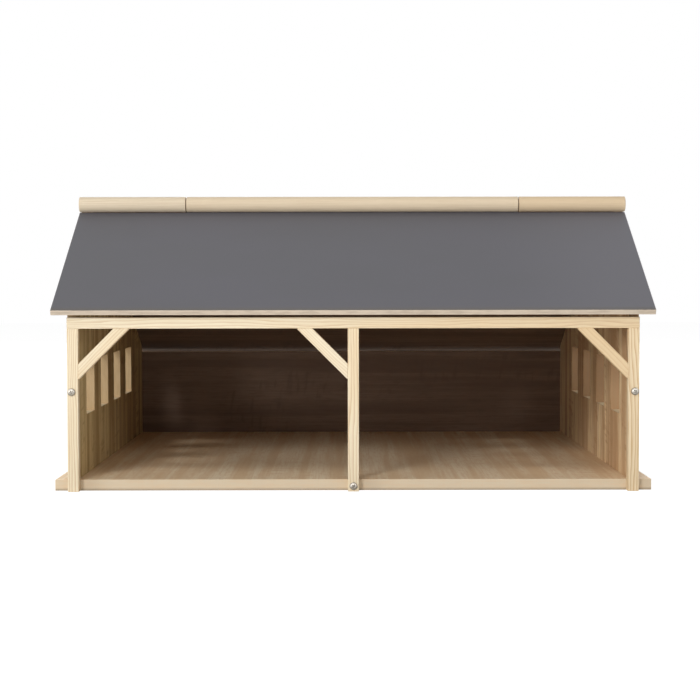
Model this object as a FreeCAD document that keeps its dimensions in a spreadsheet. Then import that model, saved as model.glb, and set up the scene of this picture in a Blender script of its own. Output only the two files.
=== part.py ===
import FreeCAD, Part
import os
import re

import Sketcher

# Toy farm shed: an open-fronted wooden machine shed for toy vehicles.
# A base board carries two gable walls with square windows and a low back wall.
# A frame of square strips closes the front, and the roof is two boards of unequal slope.
# The front roof board turns up about the round ridge bars, like the leaf of a hinge.
# Lengths are in millimetres and angles in degrees.
# The origin is under the middle of the base board: X along the ridge, Y to the back, Z up.

SIZES = {
    # Base board
    "base_length": 540,
    "base_depth": 500,
    "base_thickness": 10,
    # Front frame of strips: how far in from the base's ends, and how far its beam stays under the roof
    "frame_inset": 13,
    "strip_width": 10,
    "strip_depth": 10,
    "beam_clearance": 6.26,
    "brace_leg": 46,
    # Gable walls, which stand a little proud of the frame, and back wall;
    # the windows hang a fixed drop below the beam
    "wall_thickness": 9,
    "wall_proud": 1,
    "back_inset": 9,
    "window_width": 50,
    "window_height": 50,
    "window_drop": 31.5,
    "window_front": 51.5,
    "window_pitch": 93,
    "window_count": 4,
    # Roof boards
    "side_overhang": 13,
    "roof_thickness": 5,
    "front_pitch": 28.55,
    "rear_pitch": 24.6,
    "front_overhang": 10,
    "rear_overhang": 20,
    "seat_gap": 0.3,
    "eave_slit": 2.4,
    # Ridge bars, which are also the knuckles of the roof hinge. The front board lies under the middle bar;
    # the rear board butts against the end bars, with its top face a little above the hinge axis
    "ridge_height": 265.4,
    "ridge_setback": 163.5,
    "bar_diameter": 15,
    "bar_planing": 0.9,
    "middle_bar_length": 328,
    "bar_gap": 0.8,
    "knuckle_reach": 1,
    "knuckle_bevel": 4.5,
    "front_setback": 4.5,
    "rear_lift": 2.5,
    # Hinge pins
    "pin_diameter": 4,
    "pin_length": 26,
    "pin_running_gap": 0.05,
    "pin_fixed_gap": 0.02,
    # Pan-head screws in the posts
    "pan_head_diameter": 7,
    "pan_head_rim": 1,
    "pan_head_height": 2.4,
    "pan_top_diameter": 5,
    "pan_screw_length": 25,
    "post_screw_height": 90,
    "post_screw_inset": 4,
    "foot_screw_height": 5,
    # Countersunk screws in the boards
    "screw_diameter": 3,
    "sunk_head_diameter": 6,
    "sunk_head_height": 1.6,
    "base_screw_length": 25,
    "back_screw_length": 20,
    "roof_screw_length": 18,
    "screw_sink": 0.4,
    "screw_gap": 0.05,
    "recess_width": 0.9,
    "recess_reach": 1.7,
    "recess_depth": 1,
    "base_screw_margin": 60,
    "back_screw_margin": 20,
    "roof_screw_margin": 45,
    "row_count": 3,
    # Plain pins that hold the beam on its posts
    "beam_pin_diameter": 1.6,
    "beam_pin_length": 22,
    # Softened edges
    "strip_round": 0.5,
    "board_round": 0.4,
    "bar_round": 0.6,
    # How far cutting shapes run past what they cut
    "overrun": 5,
}

LAYOUT = {
    # Depths, front to back
    "frame_front": "-base_depth / 2 - strip_depth",
    "frame_back": "-base_depth / 2",
    "back_outer": "base_depth / 2 - back_inset",
    "back_inner": "back_outer - wall_thickness",
    "ridge_y": "frame_front + ridge_setback",
    # Places across the shed
    "frame_half": "base_length / 2 - frame_inset",
    "wall_outer": "frame_half + wall_proud",
    "wall_inner": "wall_outer - wall_thickness",
    "wall_middle": "wall_outer - wall_thickness / 2",
    "post_screw_out": "frame_half - post_screw_inset",
    "roof_length": "2 * (frame_half + side_overhang)",
    "middle_half": "middle_bar_length / 2",
    "end_bar_start": "middle_half + bar_gap",
    "end_bar_length": "roof_length / 2 - end_bar_start",
    # Roof boards, measured down the slope and square to it from the hinge axis
    "bar_flat": "bar_diameter / 2 - bar_planing",
    "front_under": "bar_flat + roof_thickness",
    "knuckle_under": "knuckle_bevel - knuckle_reach",
    "front_run": "(ridge_setback + front_overhang + bar_flat * sin(front_pitch)) / cos(front_pitch)",
    "rear_under": "roof_thickness - rear_lift",
    "rear_clear": "bar_diameter / 2 + bar_gap",
    "rear_reach": "base_depth / 2 + rear_overhang - ridge_y",
    "rear_run": "(rear_reach - rear_lift * sin(rear_pitch)) / cos(rear_pitch)",
    # Undersides of the boards straight below the hinge axis
    "front_drop": "(front_under + seat_gap) / cos(front_pitch)",
    "rear_drop": "rear_under / cos(rear_pitch)",
    # Gable outline and back wall
    "gable_front": "ridge_height - front_drop - (ridge_y - frame_back) * tan(front_pitch)",
    "gable_back": "ridge_height - rear_drop - (back_inner - ridge_y) * tan(rear_pitch)",
    "apex_shift": "(front_drop - rear_drop) / (tan(front_pitch) + tan(rear_pitch))",
    "apex_y": "ridge_y + apex_shift",
    "apex_z": "ridge_height - front_drop + apex_shift * tan(front_pitch)",
    "back_top": "ridge_height - rear_drop - (back_outer - ridge_y) * tan(rear_pitch) - eave_slit",
    # Posts, whose beam stays clear of the front roof board, and the windows that hang below it
    "roof_at_front": "ridge_height - front_under / cos(front_pitch) - ridge_setback * tan(front_pitch)",
    "post_height": "roof_at_front - beam_clearance - strip_width",
    "window_start": "frame_back + window_front",
    "window_sill": "post_height - window_drop - window_height",
    # Rows of screws
    "base_row_start": "frame_back + base_screw_margin",
    "base_row_step": "(back_inner - frame_back - 2 * base_screw_margin) / (row_count - 1)",
    "base_row_across": "wall_middle - base_screw_margin",
    "back_row_low": "base_thickness + back_screw_margin",
    "back_row_high": "back_top - back_screw_margin",
    "roof_row_start": "roof_screw_margin",
    "roof_row_step": "((back_inner - ridge_y) / cos(rear_pitch) - 2 * roof_screw_margin) / (row_count - 1)",
}

doc = FreeCAD.newDocument("farm_shed")
pieces = {}


# Sheets of driving sizes and of the places worked out from them

def formula(text):
    """Write a formula of named sizes with the sheet that each name belongs to."""
    def with_sheet(match):
        name = match.group(0)
        if name in SIZES:
            return "Sizes." + name
        return "Layout." + name if name in LAYOUT else name
    return re.sub(r"[a-z_]+", with_sheet, str(text))


def make_sheets():
    sizes = doc.addObject("Spreadsheet::Sheet", "Sizes")
    for row, (name, size) in enumerate(SIZES.items(), start=1):
        sizes.set(f"A{row}", str(size))
        sizes.setAlias(f"A{row}", name)
    layout = doc.addObject("Spreadsheet::Sheet", "Layout")
    for row, (name, text) in enumerate(LAYOUT.items(), start=1):
        layout.set(f"A{row}", "=" + re.sub(r"\bLayout\.", "", formula(text)))
        layout.setAlias(f"A{row}", name)
    doc.recompute()
    return layout


sheet = make_sheets()


def value(text):
    """The number that a formula gives now."""
    return float(sheet.evalExpression(formula(text)))


def bind(item, **formulas):
    """Tie an object's sizes, such as Length, to formulas."""
    for name, text in formulas.items():
        item.setExpression(name, formula(text))


def place(item, x=0, y=0, z=0, turn=0):
    """Put an object at x, y, z, turned about the X axis."""
    rotation = FreeCAD.Rotation(FreeCAD.Vector(1, 0, 0), value(turn))
    item.Placement = FreeCAD.Placement(FreeCAD.Vector(), rotation)
    for path, text in (("Base.x", x), ("Base.y", y), ("Base.z", z), ("Rotation.Angle", turn)):
        item.setExpression("Placement." + path, formula(text))


# Sketches and the features made from them

def outline(body, name, plane, points):
    """A closed outline in one of the body's own planes, each corner tied to its formulas."""
    sketch = body.newObject("Sketcher::SketchObject", name)
    support = next(item for item in body.Origin.OriginFeatures if item.Role == plane)
    sketch.AttachmentSupport = [(support, "")]
    sketch.MapMode = "FlatFace"
    corners = [FreeCAD.Vector(value(x), value(y), 0) for x, y in points]
    for start, end in zip(corners, corners[1:] + corners[:1]):
        sketch.addGeometry(Part.LineSegment(start, end))
    for line, (x, y) in enumerate(points):
        sketch.addConstraint(Sketcher.Constraint("Coincident", line, 2, (line + 1) % len(points), 1))
        across = sketch.addConstraint(Sketcher.Constraint("DistanceX", -1, 1, line, 1, corners[line].x))
        up = sketch.addConstraint(Sketcher.Constraint("DistanceY", -1, 1, line, 1, corners[line].y))
        sketch.setExpression(f"Constraints[{across}]", formula(x))
        sketch.setExpression(f"Constraints[{up}]", formula(y))
    return sketch


def rectangle(left, low, right, high):
    return [(left, low), (right, low), (right, high), (left, high)]


def pad(body, sketch, length, both_ways=False):
    feature = body.newObject("PartDesign::Pad", sketch.Name + "_pad")
    feature.Profile = sketch
    feature.SideType = "Symmetric" if both_ways else "One side"
    bind(feature, Length=length)
    doc.recompute()
    return feature


def pocket(body, sketch, length, both_ways=False, reverse=False):
    """Cut a sketch out of the body, and make sure that something was cut."""
    before = body.Shape.Volume
    feature = body.newObject("PartDesign::Pocket", sketch.Name + "_pocket")
    feature.Profile = sketch
    feature.SideType = "Symmetric" if both_ways else "One side"
    feature.Reversed = reverse
    bind(feature, Length=length)
    doc.recompute()
    if body.Shape.Volume >= before:
        raise RuntimeError(sketch.Name + " cuts nothing")
    return feature


def soften(body, radius, beyond=None):
    """Round every edge of what the body holds so far, or only those whose middle is beyond some depth."""
    base = body.Tip
    chosen = [
        f"Edge{number}" for number, edge in enumerate(base.Shape.Edges, start=1)
        if beyond and abs(edge.CenterOfMass.y) > value(beyond)
    ]
    feature = body.newObject("PartDesign::Fillet", body.Name + "_round")
    feature.Base = (base, chosen)
    feature.UseAllEdges = beyond is None
    bind(feature, Radius=radius)
    doc.recompute()


def board(name, plane, points, thickness, radius=None):
    """A flat piece sawn to an outline."""
    body = doc.addObject("PartDesign::Body", name)
    pad(body, outline(body, name + "_outline", plane, points), thickness)
    if radius:
        soften(body, radius)
    return body


# Screws and pins: each set of fasteners is made with the bores that it needs

def turned(name, points):
    """A round piece turned about its own Z axis."""
    body = doc.addObject("PartDesign::Body", name)
    sketch = outline(body, name + "_profile", "XZ_Plane", points)
    feature = body.newObject("PartDesign::Revolution", name + "_turned")
    feature.Profile = sketch
    feature.ReferenceAxis = (sketch, ["V_Axis"])
    doc.recompute()
    return body


def cross_recess(body):
    """The cross in a screw's head, whose top is at the body's own Z = 0."""
    near, far = "recess_width / 2", "recess_reach"
    corner = [(far, near), (near, near), (near, far)]
    points = []
    for x_sign, y_sign in ((1, 1), (-1, 1), (-1, -1), (1, -1)):
        turn = corner if x_sign == y_sign else corner[::-1]
        points += [(f"{x_sign} * {x}", f"{y_sign} * {y}") for x, y in turn]
    pocket(body, outline(body, body.Name + "_cross", "XY_Plane", points), "recess_depth")


def pan_profile(gap):
    """Half of a pan-head screw; the bore for it is the same with a gap."""
    rim, top = f"pan_head_diameter / 2 + {gap}", f"pan_top_diameter / 2 + {gap}"
    shank, seat = f"screw_diameter / 2 + {gap}", "-pan_head_height"
    return [(0, gap), (top, gap), (rim, f"{seat} + pan_head_rim"), (rim, seat),
            (shank, seat), (shank, f"-pan_screw_length - {gap}"), (0, f"-pan_screw_length - {gap}")]


def sunk_profile(length, gap):
    """Half of a countersunk screw; its bore has a gap and runs out through the surface."""
    rim, shank = f"sunk_head_diameter / 2 + {gap}", f"screw_diameter / 2 + {gap}"
    top = "overrun" if gap != 0 else 0
    mouth = [(0, top), (rim, top)] if gap != 0 else [(0, 0)]
    return mouth + [(rim, 0), (shank, "-sunk_head_height"), (shank, f"-{length} - {gap}"),
                    (0, f"-{length} - {gap}")]


def rod_profile(diameter, length, gap):
    """Half of a plain round pin that hangs down from its origin."""
    radius = f"{diameter} / 2 + {gap}"
    return [(0, gap), (radius, gap), (radius, f"-{length} - {gap}"), (0, f"-{length} - {gap}")]


def copies(name, master, places):
    """One object that holds a copy of the master at each place."""
    links = []
    for number, spot in enumerate(places, start=1):
        link = doc.addObject("App::Link", f"{name}_{number}")
        link.LinkedObject = master
        place(link, **spot)
        links.append(link)
    group = doc.addObject("Part::Compound", name)
    group.Links = links
    return group


def fastener_set(name, master, bore, places):
    """Fasteners at their places as one piece, and the bores for them."""
    pieces[name] = copies(name, master, places)
    return copies(name + "_bores", bore, places)


def bored(name, body, bores):
    """The body with the bores of the fasteners that pass through it, kept as a piece."""
    tool = doc.addObject("Part::Compound", name + "_bores")
    tool.Links = bores
    cut = doc.addObject("Part::Cut", name + "_bored")
    cut.Base = body
    cut.Tool = tool
    doc.recompute()
    if cut.Shape.Volume >= body.Shape.Volume:
        raise RuntimeError(name + " is not bored")
    pieces[name] = cut


pan_screw = turned("pan_screw", pan_profile(0))
cross_recess(pan_screw)
pan_bore = turned("pan_bore", pan_profile("screw_gap"))


def sunk_pair(name, length):
    """A countersunk screw of one length, with its bore."""
    screw = turned(name, sunk_profile(length, 0))
    cross_recess(screw)
    return screw, turned(name + "_bore", sunk_profile(length, "screw_gap"))


BOTH_SIDES = (("left", "-1"), ("right", "1"))
ROW = range(SIZES["row_count"])

# Which way a screw's head looks: turns about X of a screw that is drawn head up
HEAD_FRONT = 90
HEAD_BACK = -90
HEAD_DOWN = 180

# Pan-head screws: one through each side post into the gable wall, one through the centre post's foot
head_out = {"y": "frame_front - pan_head_height", "turn": HEAD_FRONT}
post_spots = {
    "left_post_screw": {"x": "-post_screw_out", "z": "post_screw_height"},
    "centre_post_screw": {"x": 0, "z": "foot_screw_height"},
    "right_post_screw": {"x": "post_screw_out", "z": "post_screw_height"},
}
post_bores = {
    name: fastener_set(name, pan_screw, pan_bore, [{**spot, **head_out}])
    for name, spot in post_spots.items()
}

# Countersunk screws up through the base into the two gable walls and the back wall
head_under = {"z": "screw_sink", "turn": HEAD_DOWN}
base_places = [
    {"x": f"{side} * wall_middle", "y": f"base_row_start + {step} * base_row_step", **head_under}
    for _, side in BOTH_SIDES
    for step in ROW
] + [
    {"x": f"{side} * base_row_across", "y": "back_outer - wall_thickness / 2", **head_under}
    for side in (-1, 0, 1)
]
base_bores = fastener_set("base_screws", *sunk_pair("base_screw", "base_screw_length"), base_places)

# Countersunk screws through the back wall into the rear edges of the gable walls
back_places = [
    {"x": f"{side} * wall_middle", "y": "back_outer - screw_sink", "z": height, "turn": HEAD_BACK}
    for _, side in BOTH_SIDES
    for height in ("back_row_low", "back_row_high")
]
back_bores = fastener_set("back_wall_screws", *sunk_pair("back_screw", "back_screw_length"), back_places)


def rear_slope(run, depth):
    """A place on the rear roof: so far down the slope, so deep below the hinge axis."""
    return {
        "y": f"ridge_y + ({run}) * cos(rear_pitch) - ({depth}) * sin(rear_pitch)",
        "z": f"ridge_height - ({run}) * sin(rear_pitch) - ({depth}) * cos(rear_pitch)",
    }


# Countersunk screws through the rear roof board into the sloping edges of the gable walls
roof_places = [
    {
        "x": f"{side} * wall_middle",
        **rear_slope(f"roof_row_start + {step} * roof_row_step", "screw_sink - rear_lift"),
        "turn": "-rear_pitch",
    }
    for _, side in BOTH_SIDES
    for step in ROW
]
roof_bores = fastener_set("rear_roof_screws", *sunk_pair("roof_screw", "roof_screw_length"), roof_places)

# Plain pins down through the beam into the tops of the posts
post_middles = {
    "left": "-frame_half + strip_width / 2",
    "centre": "0",
    "right": "frame_half - strip_width / 2",
}
beam_pin = turned("beam_pin", rod_profile("beam_pin_diameter", "beam_pin_length", 0))
beam_pin_bore = turned("beam_pin_bore", rod_profile("beam_pin_diameter", "beam_pin_length", "screw_gap"))
beam_places = [
    {"x": middle, "y": "frame_back - strip_depth / 2", "z": "post_height + strip_width"}
    for middle in post_middles.values()
]
beam_bores = fastener_set("beam_pins", beam_pin, beam_pin_bore, beam_places)

# Base board
base = board(
    "base", "XY_Plane",
    rectangle("-base_length / 2", "-base_depth / 2", "base_length / 2", "base_depth / 2"),
    "base_thickness", "board_round",
)
bored("base_board", base, [base_bores, post_bores["centre_post_screw"]])

# Gable walls: the top follows the undersides of the two roof boards, and windows repeat along the wall
gable = [
    ("frame_back", "base_thickness"),
    ("back_inner", "base_thickness"),
    ("back_inner", "gable_back"),
    ("apex_y", "apex_z"),
    ("frame_back", "gable_front"),
]
window = rectangle(
    "window_start", "window_sill",
    "window_start + window_width", "window_sill + window_height",
)


def gable_wall(side, x):
    body = board(side + "_gable", "YZ_Plane", gable, "wall_thickness")
    sketch = outline(body, side + "_window", "YZ_Plane", window)
    opening = pocket(body, sketch, "wall_thickness", reverse=True)
    row = body.newObject("PartDesign::LinearPattern", side + "_windows")
    row.Originals = [opening]
    row.Direction = (sketch, ["H_Axis"])
    bind(row, Length="window_pitch * (window_count - 1)", Occurrences="window_count")
    body.Tip = row
    doc.recompute()
    soften(body, "board_round")
    place(body, x=x)
    doc.recompute()
    bored(side + "_wall", body, [base_bores, back_bores, roof_bores, post_bores[side + "_post_screw"]])


gable_wall("left", "-wall_outer")
gable_wall("right", "wall_inner")

# Back wall: a plain board that stops just short of the rear roof
back = board(
    "back", "XZ_Plane",
    rectangle("-wall_outer", "base_thickness", "wall_outer", "back_top"),
    "wall_thickness", "board_round",
)
place(back, y="back_outer")
bored("back_wall", back, [base_bores, back_bores])

# Posts stand on the ground in front of the base, with the beam across their tops
for side, middle in post_middles.items():
    post = board(
        side + "_upright", "XZ_Plane",
        rectangle(f"{middle} - strip_width / 2", 0, f"{middle} + strip_width / 2", "post_height"),
        "strip_depth", "strip_round",
    )
    place(post, y="frame_back")
    bored(side + "_post", post, [beam_bores, post_bores[side + "_post_screw"]])

beam = board(
    "beam", "XZ_Plane",
    rectangle("-frame_half", "post_height", "frame_half", "post_height + strip_width"),
    "strip_depth", "strip_round",
)
place(beam, y="frame_back")
bored("top_beam", beam, [beam_bores])

# Braces: strips at 45 degrees with mitred ends, glued into the corners under the beam
brace_corners = {
    "left_brace": ("-frame_half + strip_width", 1),
    "centre_brace": ("-strip_width / 2", -1),
    "right_brace": ("frame_half - strip_width", -1),
}
short_leg = "(brace_leg - strip_width * sqrt(2))"
for name, (corner, side) in brace_corners.items():
    strip = [
        (corner, "post_height - brace_leg"),
        (corner, f"post_height - {short_leg}"),
        (f"{corner} + {side} * {short_leg}", "post_height"),
        (f"{corner} + {side} * brace_leg", "post_height"),
    ]
    pieces[name] = board(name, "XZ_Plane", strip, "strip_depth", "strip_round")
    place(pieces[name], y="frame_back")

# Roof boards, drawn flat in their own frame, with the hinge axis as the origin.
# The front board's top edge is bevelled under the middle bar, and cut square just short of the end bars.
# The rear board is glued to the end bars by its square top edge, and notched clear of the middle bar.
# The other edges are softened.
at_ridge = {"y": "ridge_y", "z": "ridge_height"}
clear_of_ridge = "rear_clear + board_round"

front_board = doc.addObject("PartDesign::Body", "front_board")
front_flat = outline(
    front_board, "front_flat", "YZ_Plane",
    rectangle("-front_run", "-front_under", "-front_setback", "-bar_flat"),
)
pad(front_board, front_flat, "roof_length", both_ways=True)
soften(front_board, "board_round", beyond=clear_of_ridge)
front_knuckle = outline(front_board, "front_knuckle", "YZ_Plane", [
    ("-front_setback", "-front_under"),
    ("-knuckle_under", "-front_under"),
    ("knuckle_reach", "-bar_flat"),
    ("-front_setback", "-bar_flat"),
])
pad(front_board, front_knuckle, "middle_bar_length", both_ways=True)
place(front_board, **at_ridge, turn="front_pitch")
pieces["front_roof_panel"] = front_board

rear_board = doc.addObject("PartDesign::Body", "rear_board")
rear_flat = outline(
    rear_board, "rear_flat", "YZ_Plane",
    rectangle("bar_flat", "-rear_under", "rear_run", "rear_lift"),
)
pad(rear_board, rear_flat, "roof_length", both_ways=True)
soften(rear_board, "board_round", beyond=clear_of_ridge)
rear_notch = outline(
    rear_board, "rear_notch", "YZ_Plane",
    rectangle("bar_flat - overrun", "-rear_under - overrun", "rear_clear", "rear_lift + overrun"),
)
pocket(rear_board, rear_notch, "2 * end_bar_start", both_ways=True)
place(rear_board, **at_ridge, turn="-rear_pitch")
doc.recompute()
bored("rear_roof_panel", rear_board, [roof_bores])

# Hinge pins lie along the ridge, half in the middle bar and half in an end bar
for side, sign in BOTH_SIDES:
    pin = doc.addObject("Part::Cylinder", f"hinge_pin_{side}")
    bind(pin, Radius="pin_diameter / 2", Height="pin_length")
    pieces[f"hinge_pin_{side}"] = pin


def lay_along_ridge(rod, start):
    """Turn a cylinder to lie along X on the hinge axis, from start."""
    rod.Placement = FreeCAD.Placement(FreeCAD.Vector(), FreeCAD.Rotation(FreeCAD.Vector(0, 1, 0), 90))
    for path, text in (("x", start), ("y", "ridge_y"), ("z", "ridge_height")):
        rod.setExpression("Placement.Base." + path, formula(text))


pin_starts = {side: f"{sign} * (middle_half + bar_gap / 2) - pin_length / 2" for side, sign in BOTH_SIDES}
for side, start in pin_starts.items():
    lay_along_ridge(pieces[f"hinge_pin_{side}"], start)


def pin_bores(name, gap):
    """Bores for both hinge pins with one radial gap, a little longer than the pins."""
    rods = []
    for side, start in pin_starts.items():
        rod = doc.addObject("Part::Cylinder", f"{name}_{side}")
        bind(rod, Radius=f"pin_diameter / 2 + {gap}", Height=f"pin_length + 2 * {gap}")
        lay_along_ridge(rod, f"{start} - {gap}")
        rods.append(rod)
    group = doc.addObject("Part::Compound", name)
    group.Links = rods
    return group


running_bores = pin_bores("running_bores", "pin_running_gap")
fixed_bores = pin_bores("fixed_bores", "pin_fixed_gap")


# Ridge bars: round rods with softened ends and a planed flat that is glued to a roof board

planed_below = rectangle("-bar_diameter", "-bar_diameter", "bar_diameter", "-bar_flat")
planed_behind = rectangle("bar_flat", "-bar_diameter", "bar_diameter", "bar_diameter")


def ridge_bar(name, start, length, pitch, planed, bores):
    body = doc.addObject("PartDesign::Body", name + "_rod")
    circle = body.newObject("Sketcher::SketchObject", name + "_circle")
    support = next(item for item in body.Origin.OriginFeatures if item.Role == "YZ_Plane")
    circle.AttachmentSupport = [(support, "")]
    circle.MapMode = "FlatFace"
    circle.addGeometry(Part.Circle(FreeCAD.Vector(), FreeCAD.Vector(0, 0, 1), value("bar_diameter / 2")))
    circle.addConstraint(Sketcher.Constraint("Coincident", 0, 3, -1, 1))
    across = circle.addConstraint(Sketcher.Constraint("Diameter", 0, value("bar_diameter")))
    circle.setExpression(f"Constraints[{across}]", formula("bar_diameter"))
    pad(body, circle, length)
    soften(body, "bar_round")
    pocket(body, outline(body, name + "_planed", "YZ_Plane", planed), length, reverse=True)
    place(body, x=start, **at_ridge, turn=pitch)
    doc.recompute()
    bored(name, body, [bores])


for side, start in (("left", "-roof_length / 2"), ("right", "end_bar_start")):
    ridge_bar(f"ridge_bar_{side}", start, "end_bar_length", "-rear_pitch", planed_behind, fixed_bores)
middle = ("-middle_half", "middle_bar_length", "front_pitch")
ridge_bar("ridge_bar_middle", *middle, planed_below, running_bores)

# Every object has to be sound before anything is written
doc.recompute()
for item in doc.Objects:
    if {"Invalid", "Error"} & set(item.State):
        raise RuntimeError(f"{item.Name} failed: {item.State}")

os.makedirs("parts", exist_ok=True)
for name, piece in pieces.items():
    piece.Label = name
    if piece.Shape.isNull() or not piece.Shape.isValid():
        raise RuntimeError(name + " has no sound shape")
for name, piece in pieces.items():
    piece.Shape.exportStep(f"parts/{name}.step")
    print(f"{name}: {len(piece.Shape.Solids)} solid(s), {piece.Shape.Volume:.1f} cubic mm")
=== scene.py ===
# %% [markdown]
# # A toy farm shed, dressed
# The shed's pieces come in as a fixed frame: boards, strips, rods and screws at their real size.
# This lesson gives each of them the finish that it has on the real toy: bare pine, plywood,
# a roof painted grey on the outside only, and bright zinc screws.
# The pieces are never moved. What the frame draws plainly, such as a screw's head,
# is modelled anew in its place.

# %% The frame
from math import cos, degrees, hypot, pi, radians, sin

import bmesh
import bpy
from mathutils import Matrix, Vector


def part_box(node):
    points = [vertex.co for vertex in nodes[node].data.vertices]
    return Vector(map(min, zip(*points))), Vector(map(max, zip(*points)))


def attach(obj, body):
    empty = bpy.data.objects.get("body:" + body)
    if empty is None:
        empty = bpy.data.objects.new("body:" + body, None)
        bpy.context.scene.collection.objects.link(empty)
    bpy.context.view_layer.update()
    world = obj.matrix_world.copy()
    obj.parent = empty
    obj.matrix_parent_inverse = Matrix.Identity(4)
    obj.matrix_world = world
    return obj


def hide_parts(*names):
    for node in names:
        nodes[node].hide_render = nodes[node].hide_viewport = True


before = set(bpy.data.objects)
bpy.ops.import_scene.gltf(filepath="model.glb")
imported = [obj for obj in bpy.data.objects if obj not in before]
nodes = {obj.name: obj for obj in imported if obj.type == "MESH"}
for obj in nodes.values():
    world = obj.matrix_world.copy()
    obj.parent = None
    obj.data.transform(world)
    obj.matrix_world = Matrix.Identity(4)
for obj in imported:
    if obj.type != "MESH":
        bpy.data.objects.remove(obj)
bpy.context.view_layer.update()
scene = bpy.context.scene
scene.view_settings.view_transform = "Standard"
MM = 0.001

# %% [markdown]
# ## The camera
# The picture was taken from straight in front, a little above the eaves, with a long lens.
# A camera can be aimed with a constraint, but a turn about each axis says more plainly
# how level and how square to the shed it stands: it looks down by a little over two degrees.

# %% The camera
CAMERA_PLACE = Vector((-7.7, -1760, 188.3)) * MM
CAMERA_DOWN = 2.32
CAMERA_TO_RIGHT = 0.18
CAMERA_ROLL = -0.08
LENS_MM = 86.07
SENSOR_MM = 36


def turn(angle, axis):
    """A turn about an axis, in degrees."""
    return Matrix.Rotation(radians(angle), 4, axis)


camera_data = bpy.data.cameras.new("camera")
camera_data.lens = LENS_MM
camera_data.sensor_width = SENSOR_MM
camera = bpy.data.objects.new("camera", camera_data)
camera.matrix_world = (
    Matrix.Translation(CAMERA_PLACE)
    @ turn(-CAMERA_TO_RIGHT, "Z")
    @ turn(90 - CAMERA_DOWN, "X")
    @ turn(CAMERA_ROLL, "Z")
)
scene.collection.objects.link(camera)
scene.camera = camera
print(f"camera {CAMERA_PLACE.length:.2f} m from the middle of the base")

# %% [markdown]
# ## Shader sums as Python
# A wood grain is a sum: distance from the heart of the tree, divided by the width of a year ring, and so on.
# In a node editor that is dozens of small Math nodes. Here one small class wraps a socket, so that
# `radius / ring` adds the node by itself, and one method adds any other kind of node.

# %% A value in a shader


class Value:
    """The output of a node. Operators on it add Math nodes."""

    def __init__(self, shader, socket):
        self.shader = shader
        self.socket = socket

    def math(self, operation, *values):
        return self.shader.node("ShaderNodeMath", {"operation": operation}, dict(enumerate(values)))

    def __add__(self, other):
        return self.math("ADD", self, other)

    def __radd__(self, other):
        return self.math("ADD", other, self)

    def __sub__(self, other):
        return self.math("SUBTRACT", self, other)

    def __rsub__(self, other):
        return self.math("SUBTRACT", other, self)

    def __mul__(self, other):
        return self.math("MULTIPLY", self, other)

    def __rmul__(self, other):
        return self.math("MULTIPLY", other, self)

    def __truediv__(self, other):
        return self.math("DIVIDE", self, other)

    def __rtruediv__(self, other):
        return self.math("DIVIDE", other, self)

    def __pow__(self, other):
        return self.math("POWER", self, other)

    def __rpow__(self, other):
        return self.math("POWER", other, self)

    def __abs__(self):
        return self.math("ABSOLUTE", self)

    def fraction(self):
        return self.math("FRACT", self)

    def greater(self, other):
        return self.math("MAXIMUM", self, other)

    def rise(self, low, high):
        """0 below low, 1 above high and a smooth rise between; falls if low is the larger."""
        sockets = {"Value": self, "From Min": low, "From Max": high}
        return self.shader.node("ShaderNodeMapRange", {"interpolation_type": "SMOOTHSTEP"}, sockets)


# %% A shader under construction


def srgb(red, green, blue):
    """A colour as a picture shows it, from 0 to 255, turned into the light that a shader counts in."""
    def light(level):
        share = level / 255
        return share / 12.92 if share <= 0.04045 else ((share + 0.055) / 1.055) ** 2.4
    return light(red), light(green), light(blue), 1


class Shader:
    """A node tree, with the few things that are asked of it."""

    def __init__(self, tree):
        self.tree = tree

    def node(self, kind, settings=None, sockets=None, out=0):
        """Add a node: its settings first, then the values or links of its sockets."""
        node = self.tree.nodes.new(kind)
        for name, setting in (settings or {}).items():
            setattr(node, name, setting)
        for name, value in (sockets or {}).items():
            self.feed(node.inputs[name], value)
        return Value(self, node.outputs[out])

    def feed(self, socket, value):
        if isinstance(value, Value):
            self.tree.links.new(value.socket, socket)
        else:
            socket.default_value = value

    def mix(self, factor, first, second):
        """A colour between two colours, which are inputs 6 and 7 of a Mix node and its output 2."""
        return self.node("ShaderNodeMix", {"data_type": "RGBA"}, {0: factor, 6: first, 7: second}, out=2)

    def noise(self, point, detail=2, roughness=0.5):
        sockets = {"Vector": point, "Scale": 1, "Detail": detail, "Roughness": roughness}
        return self.node("ShaderNodeTexNoise", None, sockets)

    def vector(self, x, y, z):
        return self.node("ShaderNodeCombineXYZ", None, {0: x, 1: y, 2: z})

    def dot(self, vector, axis):
        return self.node("ShaderNodeVectorMath", {"operation": "DOT_PRODUCT"}, {0: vector, 1: axis}, out=1)


# %% A finish


class Finish(Shader):
    """A material: a place on the piece in millimetres, the way its surface looks, and its sockets."""

    def __init__(self, name):
        self.material = bpy.data.materials.new(name)
        self.material.use_nodes = True
        super().__init__(self.material.node_tree)
        self.surface = self.tree.nodes["Principled BSDF"].inputs
        metres = self.node("ShaderNodeTexCoord", out="Object")
        self.point = self.node("ShaderNodeVectorMath", {"operation": "SCALE"}, {0: metres, "Scale": 1 / MM})
        self.facing = self.node("ShaderNodeTexCoord", out="Normal")

    def along(self, axis):
        return self.dot(self.point, axis)

    def faces(self, axis):
        """How squarely the surface looks along an axis, either way: 1 is straight along it."""
        return abs(self.dot(self.facing, axis))

    def bump(self, height, depth_mm):
        sockets = {"Strength": 1, "Distance": depth_mm * MM, "Height": height}
        self.feed(self.surface["Normal"], self.node("ShaderNodeBump", None, sockets))


X_AXIS = Vector((1, 0, 0))
Y_AXIS = Vector((0, 1, 0))
Z_AXIS = Vector((0, 0, 1))


def dress(finish, *names):
    """Give a finish to pieces of the frame."""
    for name in names:
        for slot in nodes[name].material_slots:
            slot.material = finish.material
    print(f"{finish.material.name}: {len(finish.tree.nodes)} nodes, on {', '.join(names)}")


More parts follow.
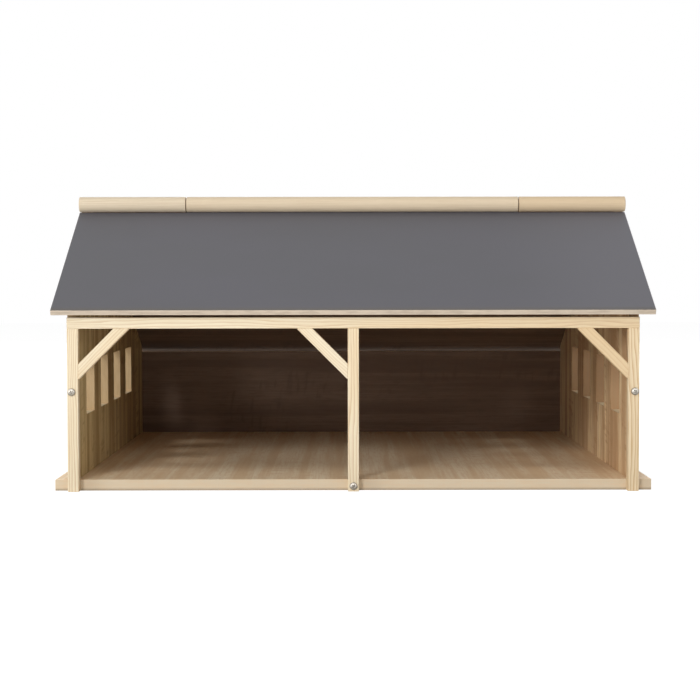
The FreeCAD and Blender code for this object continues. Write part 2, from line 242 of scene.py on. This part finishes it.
# %% [markdown]
# ## Pine
# The frame's strips are planed pine. Each was sawn somewhere out of a trunk, so its year rings are
# parts of circles about a heart that lies outside the strip. Painting lines on a face would break at
# every edge. Instead the rings are worked out in space, as a distance from that heart, and each face cuts
# them as a saw does: long lines on the sides, arcs on the ends, and wide flames where a face meets the
# rings at a slant. Noise bends the rings. It is stretched along the grain, so each of these noises
# has two scales, in steps per millimetre: a small one along the grain and a larger one across it.

# %% The rings of a sawn strip
RING_BEND = 0.006, 0.05
RING_RIPPLE = 0.03, 0.2
RING_WANDER = 5
LATE_POWER = 2.5
LATE_END = 0.9
FIBRE = 0.025, 2.2
END_FACING = 0.5, 0.8


def stretched(finish, place, scales, seed):
    """Where to read a noise that is stretched along the grain; the seed shifts it sideways."""
    along, across, depth = place
    slow, quick = scales
    return finish.vector(along * slow, across * quick + seed, depth * quick)


def year_rings(finish, place, ring_mm, seed):
    """How far through its year's growth a place is, from pale spring wood (0) to dark late wood (1)."""
    along, across, depth = place
    slow, quick = RING_BEND
    bend = finish.noise(finish.vector(along * slow + seed, across * quick, depth * quick))
    ripple = finish.noise(stretched(finish, place, RING_RIPPLE, seed))
    radius = (across * across + depth * depth) ** 0.5
    wavy = radius + (bend - 0.5) * (RING_WANDER * ring_mm) + (ripple - 0.5) * ring_mm
    cycle = (wavy / ring_mm).fraction()
    return cycle ** LATE_POWER * cycle.rise(1, LATE_END)


def fibres(finish, place, seed):
    """Fine streaks along the grain."""
    return finish.noise(stretched(finish, place, FIBRE, seed), detail=4, roughness=0.6)


def on_end(finish, grain):
    """1 where the wood is sawn across its grain."""
    return finish.faces(grain).rise(*END_FACING)


# %% Planed pine
PINE_PALE = srgb(249, 237, 209)
PINE_WARM = srgb(231, 203, 160)
PINE_LATE = srgb(200, 156, 98)
PINE_END = srgb(196, 158, 108)
PINE_DRIFT = 0.008, 0.06
DRIFT_LEVELS = 0.3, 0.7
DRIFT_SHARE = 0.4
FIBRE_LEVELS = 0.5, 0.85
FIBRE_SHARE = 0.25
END_SHARE = 0.6
PINE_ROUGHNESS = 0.62
LATE_SMOOTHER = 0.12
FIBRE_ROUGHER = 0.08
PINE_GRAIN_MM = 0.06
FIBRE_RELIEF = 0.6
LATE_RELIEF = 0.4


def pine(name, grain, side, heart, ring_mm, contrast, warmth, seed):
    """Planed pine, with its grain along one axis.

    The heart is where the tree's middle lies, seen along the grain, in millimetres.
    The warmth is a share, or a function that works one out for a finish.
    """
    finish = Finish(name)
    along = finish.along(grain)
    across = finish.along(side) - heart[0]
    depth = finish.along(grain.cross(side)) - heart[1]
    place = along, across, depth
    late = year_rings(finish, place, ring_mm, seed)
    fine = fibres(finish, place, seed)
    drift = finish.noise(stretched(finish, place, PINE_DRIFT, seed)).rise(*DRIFT_LEVELS)
    warm = warmth(finish) if callable(warmth) else warmth
    colour = finish.mix(drift * (1 - warm) * DRIFT_SHARE + warm, PINE_PALE, PINE_WARM)
    colour = finish.mix(late * contrast, colour, PINE_LATE)
    colour = finish.mix(fine.rise(*FIBRE_LEVELS) * FIBRE_SHARE, colour, PINE_LATE)
    colour = finish.mix(on_end(finish, grain) * END_SHARE, colour, PINE_END)
    finish.feed(finish.surface["Base Color"], colour)
    finish.feed(finish.surface["Roughness"], PINE_ROUGHNESS - late * LATE_SMOOTHER + fine * FIBRE_ROUGHER)
    finish.bump(fine * FIBRE_RELIEF + late * LATE_RELIEF, PINE_GRAIN_MM)
    return finish


# %% The front frame
SLANT_RIGHT = Vector((1, 0, 1)).normalized()
SLANT_LEFT = Vector((-1, 0, 1)).normalized()
BEAM_PALE_MM = -180
BEAM_WARM_MM = 200
BEAM_WARMTH = 0.65


def warmer_to_the_right(finish):
    """Pale sapwood at the beam's left end, warmer heartwood towards the right."""
    return finish.along(X_AXIS).rise(BEAM_PALE_MM, BEAM_WARM_MM) * BEAM_WARMTH


def strip(name, grain, side, heart, **cut):
    """Dress one strip of the front frame, as it was cut from its tree."""
    dress(pine("pine_" + name, grain, side, heart, **cut), name)


strip("left_post", Z_AXIS, X_AXIS, (-395, -236), ring_mm=2.3, contrast=0.8, warmth=0.15, seed=1.3)
strip("centre_post", Z_AXIS, X_AXIS, (-130, -232), ring_mm=2.9, contrast=0.7, warmth=0.25, seed=4.1)
strip("right_post", Z_AXIS, X_AXIS, (395, -228), ring_mm=2.5, contrast=1.0, warmth=0.45, seed=7.7)
strip("top_beam", X_AXIS, Z_AXIS, (186, 274), ring_mm=2.4, contrast=0.6, warmth=warmer_to_the_right, seed=2.9)
strip("left_brace", SLANT_RIGHT, SLANT_LEFT, (330, 276), ring_mm=2.2, contrast=0.6, warmth=0.05, seed=5.2)
strip("centre_brace", SLANT_LEFT, SLANT_RIGHT, (170, -262), ring_mm=2.2, contrast=0.45, warmth=0.1, seed=9.4)
strip("right_brace", SLANT_LEFT, SLANT_RIGHT, (340, -266), ring_mm=2.4, contrast=0.5, warmth=0.85, seed=6.6)

# %% [markdown]
# ## The ridge rods
# Three turned rods lie end to end along the ridge, and they are the knuckles of the roof's hinge.
# They are a closer-grained wood than the strips, so the same rings serve, thinner and fainter.

# %% The ridge rods
ROD_PALE = srgb(232, 215, 188)
ROD_WARM = srgb(229, 204, 168)
ROD_LATE = srgb(194, 164, 126)
ROD_RING_MM = 1.4
ROD_RING_SHARE = 0.3
ROD_FIBRE_LEVELS = 0.45, 0.8
ROD_FIBRE_SHARE = 0.35
ROD_END_SHARE = 0.5
ROD_ROUGHNESS = 0.55
ROD_FIBRE_ROUGHER = 0.12
ROD_GRAIN_MM = 0.05


def rod_wood(name, heart, warmth, seed):
    """Turned wood; warmth runs from 0, pale, to 1, honey brown."""
    finish = Finish(name)
    along = finish.along(X_AXIS)
    across = finish.along(Y_AXIS) - heart[0]
    depth = finish.along(Z_AXIS) - heart[1]
    place = along, across, depth
    late = year_rings(finish, place, ROD_RING_MM, seed)
    fine = fibres(finish, place, seed)
    colour = finish.mix(warmth, ROD_PALE, ROD_WARM)
    colour = finish.mix(late * ROD_RING_SHARE, colour, ROD_LATE)
    colour = finish.mix(fine.rise(*ROD_FIBRE_LEVELS) * ROD_FIBRE_SHARE, colour, ROD_LATE)
    colour = finish.mix(on_end(finish, X_AXIS) * ROD_END_SHARE, colour, ROD_LATE)
    finish.feed(finish.surface["Base Color"], colour)
    finish.feed(finish.surface["Roughness"], ROD_ROUGHNESS + fine * ROD_FIBRE_ROUGHER)
    finish.bump(fine, ROD_GRAIN_MM)
    return finish


dress(rod_wood("rod_left", heart=(-90, 250), warmth=0.0, seed=3.3), "ridge_bar_left")
dress(rod_wood("rod_middle", heart=(-104, 246), warmth=0.3, seed=8.2), "ridge_bar_middle")
dress(rod_wood("rod_right", heart=(-99, 252), warmth=0.9, seed=5.9), "ridge_bar_right")

# %% [markdown]
# ## Plywood
# The base and the walls are plywood. A face veneer is peeled from the log like paper from a roll, so it
# shows broad stripes, fine streaks, patches of slanting ripples and short flecks, with no plain rings.
# A picture of wood could be laid on, but it would repeat. Four noises, each stretched in its own way,
# never do. Their scales are again pairs, along the grain and across it, and a mark begins at one level of
# its noise and is full at another. A sawn edge shows the stack of layers instead, and every second one
# is cut across its grain.

# %% The faces and edges of plywood
STRIPE = 0.0015, 0.05
STREAK = 0.012, 0.8
RIPPLE = 0.2, 0.035
RIPPLE_SLANT = 0.14
RIPPLE_PATCH = 0.006, 0.02
PATCH_LEVELS = 0.5, 0.6
FLECK = 0.05, 0.3
CROSSED_LEVELS = 0.46, 0.54
GLUE_LEVELS = 0.40, 0.50


def veneer(finish, along, across, seed):
    """Broad stripes, fine streaks, slanting ripples and short flecks on a peeled face, as four values."""
    def noise(first, second, **kind):
        return finish.noise(finish.vector(first, second, seed), **kind)

    stripe = noise(along * STRIPE[0] + seed, across * STRIPE[1], detail=3, roughness=0.65)
    streak = noise(along * STREAK[0], across * STREAK[1] + seed, detail=4, roughness=0.65)
    ripple = noise((along + across * RIPPLE_SLANT) * RIPPLE[0], across * RIPPLE[1], detail=1)
    patch = noise(along * RIPPLE_PATCH[0], across * RIPPLE_PATCH[1] + seed).rise(*PATCH_LEVELS)
    fleck = noise(along * FLECK[0], across * FLECK[1], detail=3, roughness=0.6)
    return stripe, streak, (ripple - 0.5) * patch, fleck


def layers(place, low_mm, ply_mm):
    """Which layers are cut across their grain, and where the glue lines are, as two values."""
    count = (place - low_mm) / ply_mm
    crossed = (count * 0.5).fraction().rise(*CROSSED_LEVELS)
    glue = abs(count.fraction() - 0.5).rise(*GLUE_LEVELS)
    return crossed, glue


# %% The colour of plywood
STRIPE_LEVELS = 0.4, 0.6
STRIPE_SHARE = 0.7
STREAK_LEVELS = 0.42, 0.75
STREAK_SHARE = 0.5
RIPPLE_LEVELS = 0.02, 0.2
RIPPLE_SHARE = 0.5
FLECK_LEVELS = 0.45, 0.7
FLECK_SHARE = 0.45
CROSSED_SHARE = 0.07
GLUE_SHARE = 0.06
EDGE_STREAK_LEVELS = 0.4, 0.8
EDGE_STREAK_SHARE = 0.14
EDGE_FACING = 0.75, 0.6
BLOTCH = 0.07
BLOTCH_THROUGH = 0.35
BLOTCH_LEVELS = 0.4, 0.7
BLOTCH_SHARE = 0.2
SILL_HIGHLIGHT = srgb(254, 230, 186)
SILL_FACING = 0.9, 0.98
SILL_SHARE = 0.85


def plywood_colour(finish, palette, normal, grain, low_mm, ply_mm, seed):
    """The colour and the height of bare plywood.

    The palette is its pale wood, its dark wood and its sawn edge.
    A sawn edge that faces straight up, such as a window sill, is painted pale: a painted highlight of light
    from above.
    """
    pale, dark, sawn = palette
    along = finish.along(grain)
    across = finish.along(normal.cross(grain))
    through = finish.along(normal)
    stripe, streak, ripple, fleck = veneer(finish, along, across, seed)
    face = finish.mix(stripe.rise(*STRIPE_LEVELS) * STRIPE_SHARE, pale, dark)
    face = finish.mix(streak.rise(*STREAK_LEVELS) * STREAK_SHARE, face, dark)
    face = finish.mix(ripple.rise(*RIPPLE_LEVELS) * RIPPLE_SHARE, face, dark)
    face = finish.mix(fleck.rise(*FLECK_LEVELS) * FLECK_SHARE, face, dark)
    crossed, glue = layers(through, low_mm, ply_mm)
    blotch = finish.noise(finish.vector(along * BLOTCH, across * BLOTCH, through * BLOTCH_THROUGH), detail=3)
    layered = crossed * CROSSED_SHARE + glue * GLUE_SHARE
    layered = layered + streak.rise(*EDGE_STREAK_LEVELS) * EDGE_STREAK_SHARE
    edge = finish.mix(layered + blotch.rise(*BLOTCH_LEVELS) * BLOTCH_SHARE, sawn, dark)
    # Upward-facing sawn edges such as window sills get a painted highlight: pale colour for light falling on
    # them from above.
    sill = finish.dot(finish.facing, Z_AXIS).rise(*SILL_FACING)
    edge = finish.mix(sill * SILL_SHARE, edge, SILL_HIGHLIGHT)
    on_edge = finish.faces(normal).rise(*EDGE_FACING)
    return finish.mix(on_edge, face, edge), streak


# %% Bare plywood
FOOT_SHADE = srgb(110, 92, 74)
FOOT_SHADE_SHARE = 0.55
FOOT_SHADE_NONE_MM = 3.0
FOOT_SHADE_FULL_MM = 0.2
PLY_ROUGHNESS = 0.62
STREAK_ROUGHER = 0.12
PLY_GRAIN_MM = 0.07


def plywood(name, palette, normal, grain, low_mm, ply_mm, seed):
    """Bare plywood, darkened by painted shade where it meets the ground."""
    finish = Finish(name)
    colour, streak = plywood_colour(finish, palette, normal, grain, low_mm, ply_mm, seed)
    # The lowest few millimetres are darkened as painted shade: the contact shadow where the board meets the
    # ground.
    foot_shade = finish.along(Z_AXIS).rise(FOOT_SHADE_NONE_MM, FOOT_SHADE_FULL_MM) * FOOT_SHADE_SHARE
    finish.feed(finish.surface["Base Color"], finish.mix(foot_shade, colour, FOOT_SHADE))
    finish.feed(finish.surface["Roughness"], PLY_ROUGHNESS + streak * STREAK_ROUGHER)
    finish.bump(streak, PLY_GRAIN_MM)
    return finish


# %% The base and the walls
BASE_WOOD = srgb(252, 232, 200), srgb(230, 194, 150), srgb(224, 206, 178)
# Both gable walls are the same plywood: the left wall's darker palette is painted shade, and the right wall's
# paler palette is painted light.
LEFT_WOOD_SHADED = srgb(226, 202, 148), srgb(158, 124, 76), srgb(198, 170, 128)
RIGHT_WOOD_LIT = srgb(249, 223, 178), srgb(184, 136, 93), srgb(176, 141, 102)
# The back wall is a browner board, and its dark palette is partly painted shade of the shed's deep inside.
BACK_WOOD = srgb(146, 122, 104), srgb(116, 92, 76), srgb(146, 120, 98)
BASE_PLIES = 7
WALL_PLIES = 5


def sheet_plywood(name, palette, axis, grain, plies, seed):
    """Plywood for a board of the frame, with its layers counted across the board's own thickness."""
    low, high = (axis.dot(corner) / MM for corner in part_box(name))
    dress(plywood("ply_" + name, palette, axis, grain, low, (high - low) / plies, seed), name)


sheet_plywood("base_board", BASE_WOOD, Z_AXIS, Y_AXIS, BASE_PLIES, seed=2.2)
sheet_plywood("left_wall", LEFT_WOOD_SHADED, X_AXIS, Z_AXIS, WALL_PLIES, seed=4.7)
sheet_plywood("right_wall", RIGHT_WOOD_LIT, X_AXIS, Z_AXIS, WALL_PLIES, seed=8.5)
sheet_plywood("back_wall", BACK_WOOD, Y_AXIS, X_AXIS, WALL_PLIES, seed=6.1)

# %% [markdown]
# ## The roof boards
# The roof is thin plywood, rolled with grey paint on its outer face only. Its sawn edges and its
# underside are bare. Two materials on one board would need a cut between its faces. The surface's own
# direction is simpler: where the board looks straight out from its slope it is painted, and the paint
# frays where the edge rolls over.

# %% Paint
PAINT = srgb(91, 90, 96)
PAINT_SHEEN = srgb(101, 100, 106)
PAINT_DARK = srgb(87, 87, 90)
PAINT_WORN = srgb(94, 89, 82)
CLOUD = 0.006, 0.012
CLOUD_LEVELS = 0.35, 0.7
CLOUD_SHARE = 0.5
SHEEN_FROM_MM = 120
SHEEN_TO_MM = 260
SHEEN_SHARE = 0.9
FRAY_MM = 4
WORN_MM = 5
WORN_SHARE = 0.7


def paint_colour(finish, along, down, fray, eave_mm, seed):
    """Grey paint: faintly cloudy, lightened towards the right end by a painted sheen, and worn along the
    eave.
    """
    cloud = finish.noise(finish.vector(along * CLOUD[0], down * CLOUD[1], seed))
    worn = (abs(down) + fray * FRAY_MM).rise(eave_mm - WORN_MM, eave_mm)
    paint = finish.mix(cloud.rise(*CLOUD_LEVELS) * CLOUD_SHARE, PAINT, PAINT_DARK)
    # The lighter right end of the roof is a painted sheen, not a change in the paint.
    paint = finish.mix(along.rise(SHEEN_FROM_MM, SHEEN_TO_MM) * SHEEN_SHARE, paint, PAINT_SHEEN)
    return finish.mix(worn * WORN_SHARE, paint, PAINT_WORN)


# %% The roof boards
# The face colours, which show on the boards' undersides, are dark partly as painted shade of the ceiling
# inside; the sawn edge colour is the board's own.
ROOF_WOOD = srgb(148, 124, 104), srgb(112, 90, 74), srgb(218, 202, 181)
ROOF_PLIES = 3
ROOF_GRAIN_MM = 0.06
ROLLER = 1.1
ROLLER_RELIEF = 0.4
FRAY = 0.35
FRAY_REACH = 0.5
PAINTED_FACING = 0.70, 0.82
BARE_ROUGHNESS = 0.68
PAINT_SMOOTHER = 0.2
ROLLER_ROUGHER = 0.1


def outer_face(name):
    """The way a roof board's painted face looks: that of its largest face that looks up."""
    upward = [face for face in nodes[name].data.polygons if face.normal.z > 0]
    return max(upward, key=lambda face: face.area).normal.copy()


def roof_board(name, seed):
    """Plywood under paint, with its slope and its thickness taken from the frame."""
    finish = Finish(name + "_finish")
    slope = outer_face(name)
    fall = slope.cross(X_AXIS)
    places = [vertex.co / MM for vertex in nodes[name].data.vertices]
    low_mm = min(slope.dot(place) for place in places)
    ply_mm = (max(slope.dot(place) for place in places) - low_mm) / ROOF_PLIES
    eave_mm = max(abs(fall.dot(place)) for place in places)
    bare, streak = plywood_colour(finish, ROOF_WOOD, slope, X_AXIS, low_mm, ply_mm, seed)
    along = finish.along(X_AXIS)
    down = finish.along(fall)
    roller = finish.noise(finish.vector(along * ROLLER, down * ROLLER, seed), detail=3, roughness=0.6)
    fray = finish.noise(finish.vector(along * FRAY, down * FRAY, seed), detail=3)
    outward = finish.dot(finish.facing, slope)
    painted = (outward + (fray - 0.5) * FRAY_REACH).rise(*PAINTED_FACING)
    paint = paint_colour(finish, along, down, fray, eave_mm, seed)
    finish.feed(finish.surface["Base Color"], finish.mix(painted, bare, paint))
    roughness = BARE_ROUGHNESS - painted * (PAINT_SMOOTHER - roller * ROLLER_ROUGHER)
    finish.feed(finish.surface["Roughness"], roughness)
    finish.bump(streak * (1 - painted) + roller * painted * ROLLER_RELIEF, ROOF_GRAIN_MM)
    dress(finish, name)
    print(f"{name}: sloping by {degrees(slope.angle(Z_AXIS)):.2f} degrees, layers of {ply_mm:.2f} mm")


roof_board("front_roof_panel", seed=3.7)
roof_board("rear_roof_panel", seed=7.4)

# %% [markdown]
# ## Screws and pins
# Zinc-plated screws are bright but never mirrors: the plating is faintly cloudy, so the roughness
# varies a little. The heads that show in the posts are also darker round their rims, where the surface
# turns away from the front: painted shade, with some grime.

# %% Zinc plate
ZINC = srgb(204, 198, 188)
ZINC_DULL = srgb(174, 168, 158)
ZINC_RIM_SHADE_AND_GRIME = srgb(110, 102, 90)
ZINC_LEVELS = 0.4, 0.7
RIM_FACING = 0.9, 0.4
ZINC_ROUGHNESS = 0.34
ZINC_ROUGHER = 0.2


def zinc_plate(name, rim_shade_and_grime):
    """Zinc-plated steel; the last argument says how far painted shade, with some grime, darkens the rim of a
    head that looks forward.
    """
    finish = Finish(name)
    cloud = finish.noise(finish.point, detail=3)
    # The darker rim is painted shade where the head turns away from the front, with some grime.
    rim = finish.faces(Y_AXIS).rise(*RIM_FACING) * rim_shade_and_grime
    colour = finish.mix(rim, finish.mix(cloud.rise(*ZINC_LEVELS), ZINC, ZINC_DULL), ZINC_RIM_SHADE_AND_GRIME)
    finish.feed(finish.surface["Base Color"], colour)
    finish.feed(finish.surface["Metallic"], 1)
    finish.feed(finish.surface["Roughness"], ZINC_ROUGHNESS + cloud * ZINC_ROUGHER)
    return finish


head_zinc = zinc_plate("zinc_heads", rim_shade_and_grime=0.5)
dress(head_zinc, "left_post_screw", "centre_post_screw", "right_post_screw")
clean_zinc = zinc_plate("zinc_plate", rim_shade_and_grime=0)
dress(clean_zinc, "base_screws", "back_wall_screws", "rear_roof_screws")
dress(clean_zinc, "beam_pins", "hinge_pin_left", "hinge_pin_right")

# %% [markdown]
# The screws that show in the posts deserve better than a flat-topped cone. A pan head is a dome with
# a cross pressed into it, and a boolean would leave ragged faces there. Here the dome is a disc of rings
# whose height is worked out point by point, and the cross is simply where that height dips.

# %% The height of a pan head
HEAD_MM = 2.4
RIM_MM = 0.6
DOME_SHOULDER = 2.6
DOME_ROUND = 0.7
CROSS_HALF_MM = 0.42
CROSS_REACH_MM = 1.9
CROSS_RUN_OUT_MM = 0.9
CROSS_DEPTH_MM = 1.1
CROSS_SLOPE_MM = 0.22


def share(value):
    """A number kept between 0 and 1."""
    return min(max(value, 0), 1)


def head_height(across, up, radius):
    """How far the head stands out at one place, in millimetres."""
    outwards = share(hypot(across, up) / radius)
    dome = RIM_MM + (HEAD_MM - RIM_MM) * (1 - outwards ** DOME_SHOULDER) ** DOME_ROUND
    dip = 0
    for along, beside in ((abs(across), abs(up)), (abs(up), abs(across))):
        run_out = share((CROSS_REACH_MM - along) / CROSS_RUN_OUT_MM)
        flank = share((CROSS_HALF_MM - beside) / CROSS_SLOPE_MM)
        dip = max(dip, run_out * flank)
    return dome - CROSS_DEPTH_MM * dip


# %% The skin of a screw
SHANK_MM = 1.5
RINGS = 30
SEGMENTS = 80


def ring_points(radius, turned, height):
    """One ring of the screw: its places across, outwards and up, in millimetres.

    The height is a number, or a function of a place on the head before the head was turned.
    """
    for step in range(SEGMENTS):
        angle = 2 * pi * step / SEGMENTS
        tilt = angle - turned
        stands = height(radius * cos(tilt), radius * sin(tilt)) if callable(height) else height
        yield radius * cos(angle), -stands, radius * sin(angle)


def screw_skin(seat, radius, sunk, turned):
    """A screw's mesh, from the middle of its head, round the rim, to the end of its shank."""
    def domed(across, up):
        return head_height(across, up, radius)

    rows = [(radius * ring / RINGS, domed) for ring in range(1, RINGS + 1)]
    rows += [(radius, 0), (SHANK_MM, 0), (SHANK_MM, sunk)]
    mesh = bmesh.new()
    rings = []
    for ring_radius, height in rows:
        spots = ring_points(ring_radius, turned, height)
        rings.append([mesh.verts.new(seat + Vector(spot) * MM) for spot in spots])
    middle = mesh.verts.new(seat + Vector((0, -domed(0, 0), 0)) * MM)
    for step in range(SEGMENTS):
        after = (step + 1) % SEGMENTS
        mesh.faces.new((middle, rings[0][after], rings[0][step]))
        for inner, outer in zip(rings, rings[1:]):
            mesh.faces.new((inner[step], inner[after], outer[after], outer[step]))
    mesh.faces.new(rings[-1])
    bmesh.ops.recalc_face_normals(mesh, faces=mesh.faces)
    return mesh


# %% Pan-head screws
SHARP_DEGREES = 38


def pan_head_screw(node, turned):
    """A pan-head screw in place of a plain one, with its cross turned by some degrees."""
    low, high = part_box(node)
    radius = (high.x - low.x) / 2 / MM
    seat = Vector(((low.x + high.x) / 2, low.y + HEAD_MM * MM, (low.z + high.z) / 2))
    mesh = screw_skin(seat, radius, (seat.y - high.y) / MM, radians(turned))
    data = bpy.data.meshes.new(node + "_pan_head")
    mesh.to_mesh(data)
    mesh.free()
    data.polygons.foreach_set("use_smooth", [True] * len(data.polygons))
    data.set_sharp_from_angle(angle=radians(SHARP_DEGREES))
    data.materials.append(head_zinc.material)
    screw = bpy.data.objects.new(node + "_pan_head", data)
    scene.collection.objects.link(screw)
    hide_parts(node)
    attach(screw, "shed")
    print(f"{screw.name}: {len(data.polygons)} faces")


pan_head_screw("left_post_screw", turned=20)
pan_head_screw("centre_post_screw", turned=55)
pan_head_screw("right_post_screw", turned=38)

# %% [markdown]
# ## Floor and light
# The shed stands on a white sweep under soft studio light. A bright white world would be the simplest
# light, but it fills the shadows under the roof. So the world is dim, and looks plain white only to the
# camera and in reflections, and soft lamps light the wood at a level at which a colour comes out about
# as it was written. The floor is lifted to white for the camera too, and keeps the shed's shadow.

# %% Floor
FLOOR_HALF_M = 6
FLOOR_PAPER = 0.82
FLOOR_SHADE = 0.36
FLOOR_LIFT = 0.93
WHITE = 1, 1, 1, 1

floor_mesh = bpy.data.meshes.new("floor")
corners = [(x * FLOOR_HALF_M, y * FLOOR_HALF_M, 0) for x, y in ((-1, -1), (1, -1), (1, 1), (-1, 1))]
floor_mesh.from_pydata(corners, [], [(0, 1, 2, 3)])
floor = bpy.data.objects.new("floor", floor_mesh)
scene.collection.objects.link(floor)
floor_material = bpy.data.materials.new("white_sweep")
floor_material.use_nodes = True
sweep = Shader(floor_material.node_tree)
seen = sweep.node("ShaderNodeLightPath", out="Is Camera Ray")
paper = sweep.node("ShaderNodeBsdfDiffuse", None, {"Color": FLOOR_PAPER - seen * (FLOOR_PAPER - FLOOR_SHADE)})
glow = sweep.node("ShaderNodeEmission", None, {"Color": WHITE, "Strength": seen * FLOOR_LIFT})
both = sweep.node("ShaderNodeAddShader", None, {0: paper, 1: glow})
sweep.feed(sweep.tree.nodes["Material Output"].inputs["Surface"], both)
floor_mesh.materials.append(floor_material)
print(f"floor: {2 * FLOOR_HALF_M} m square")

# %% World
AMBIENT = 0.13

world = bpy.data.worlds.new("studio")
world.use_nodes = True
scene.world = world
sky = Shader(world.node_tree)
seen = sky.node("ShaderNodeLightPath", out="Is Camera Ray")
mirrored = sky.node("ShaderNodeLightPath", out="Is Glossy Ray")
passed = sky.node("ShaderNodeLightPath", out="Is Transmission Ray")
plain_white = seen.greater(mirrored).greater(passed)
background = sky.tree.nodes["Background"].inputs
sky.feed(background["Color"], WHITE)
sky.feed(background["Strength"], plain_white * (1 - AMBIENT) + AMBIENT)
print(f"world: white to the camera, {AMBIENT} of white on the wood")

# %% [markdown]
# The key stands at the front left, with a weaker fill at the right. A lamp higher up reaches the front
# of the floor inside, low ones reach under the beam, and the rest light the sides and the back,
# so that the shed can be looked at from all round. In front of the shed a white card lies on the ground
# and throws light up under the eave: a lamp that faces up, and that the camera doesn't see, stands for it.

# %% Lamps
SHED_MIDDLE = Vector((0, 0, 0.13))


def round_lamp(name, place, aim, size, power):
    """A round lamp at a place, shining one way: metres across, and watts."""
    data = bpy.data.lights.new(name, "AREA")
    data.shape = "DISK"
    data.size = size
    data.energy = power
    lamp = bpy.data.objects.new(name, data)
    lamp.location = place
    lamp.rotation_euler = aim.to_track_quat("-Z", "Y").to_euler()
    scene.collection.objects.link(lamp)
    print(f"{name}: {power} W, {size} m across")
    return lamp


def soft_lamp(name, sideways, height, distance, size, power):
    """A lamp that looks at the shed, from some degrees to the right, degrees up and metres away."""
    level = distance * cos(radians(height))
    right, ahead = level * sin(radians(sideways)), level * cos(radians(sideways))
    offset = Vector((right, -ahead, distance * sin(radians(height))))
    round_lamp(name, SHED_MIDDLE + offset, -offset, size, power)


soft_lamp("key", sideways=-20, height=20, distance=3.6, size=0.8, power=36)
soft_lamp("high_front", sideways=-6, height=50, distance=3.4, size=1.2, power=14)
soft_lamp("fill", sideways=28, height=19, distance=3.4, size=0.9, power=11)
soft_lamp("low_left", sideways=-60, height=5, distance=3.4, size=1.2, power=31)
soft_lamp("low_right", sideways=60, height=5, distance=3.4, size=1.2, power=5)
soft_lamp("left_side", sideways=-88, height=40, distance=3.2, size=1.2, power=13)
soft_lamp("right_side", sideways=88, height=40, distance=3.2, size=1.2, power=10)
soft_lamp("back", sideways=180, height=16, distance=3.4, size=2.0, power=46)

# %% A card on the floor
CARD_PLACE = Vector((0, -0.95, 0.004))
card = round_lamp("card", CARD_PLACE, Z_AXIS, size=1.2, power=1.8)
card.visible_camera = False
